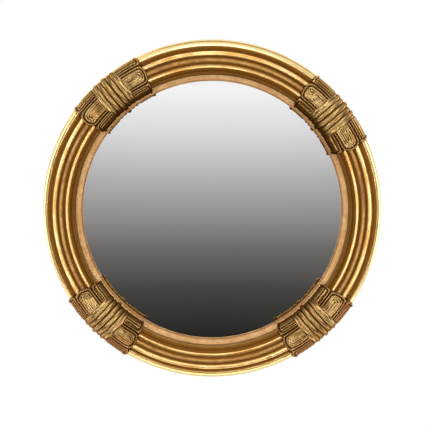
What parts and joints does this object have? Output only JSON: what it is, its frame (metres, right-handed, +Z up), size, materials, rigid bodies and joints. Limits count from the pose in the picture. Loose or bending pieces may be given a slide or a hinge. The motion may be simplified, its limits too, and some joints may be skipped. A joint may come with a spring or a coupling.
{
  "type": "convex mirror",
  "caption": "Round convex wall mirror in a reeded giltwood frame with leaf-carved collars, a gilt slip, a boarded pine back and a folding hanging ring.",
  "frame": {"origin": "centre of the back of the frame, on the plane that lies against the wall", "axes": "+Z up, the mirror faces -Y, +X is to the right as seen from the front"},
  "size_m": [0.56, 0.0485, 0.56],
  "materials": {
    "gilt_reeds": "burnished water gilding over red bole, rubbed on the reeds, brown in the quirks",
    "gilt_collar": "matt toned gilding on carving, dark in the cuts, rubbed to red bole in places",
    "gilt_slip": "worn gilding, pinkish where the bole and gesso show",
    "mirror_glass": "silvered convex glass, polished",
    "pine_ring": "old pine, toned brown, sawn and planed",
    "pine_blocks": "split pine with glue",
    "pine_backboard": "old planed pine, oxidised",
    "iron_screw": "dull iron, brown",
    "brass_hanger": "dull old brass",
    "brass_ring": "dull old brass, bright where it rubs"
  },
  "bodies": {
    "frame": {"moulding_top": "gilt_reeds", "moulding_left": "gilt_reeds", "moulding_bottom": "gilt_reeds", "moulding_right": "gilt_reeds", "sight_slip": "gilt_slip", "convex_glass": "mirror_glass", "felloe_1": "pine_ring", "felloe_2": "pine_ring", "felloe_3": "pine_ring", "felloe_4": "pine_ring", "felloe_5": "pine_ring", "felloe_6": "pine_ring", "glazing_blocks": "pine_blocks", "backboard_lower": "pine_backboard", "backboard_middle": "pine_backboard", "backboard_upper": "pine_backboard", "backboard_screws": "iron_screw", "hanger_plate": "brass_hanger", "hanger_screws": "iron_screw", "collar_band_upper_right": "gilt_collar", "leaf_cuff_upper_right_left": "gilt_collar", "leaf_cuff_upper_right_right": "gilt_collar", "collar_band_upper_left": "gilt_collar", "leaf_cuff_upper_left_left": "gilt_collar", "leaf_cuff_upper_left_right": "gilt_collar", "collar_band_lower_left": "gilt_collar", "leaf_cuff_lower_left_left": "gilt_collar", "leaf_cuff_lower_left_right": "gilt_collar", "collar_band_lower_right": "gilt_collar", "leaf_cuff_lower_right_left": "gilt_collar", "leaf_cuff_lower_right_right": "gilt_collar"},
    "ring": {"hanging_ring": "brass_ring"}
  },
  "joints": [
    {"name": "ring_hinge", "type": "hinge", "parent": "frame", "child": "ring", "pos_m": [0, -0.0042, 0.252], "axis": [1, 0, 0], "range_deg": [0, 180]}
  ]
}
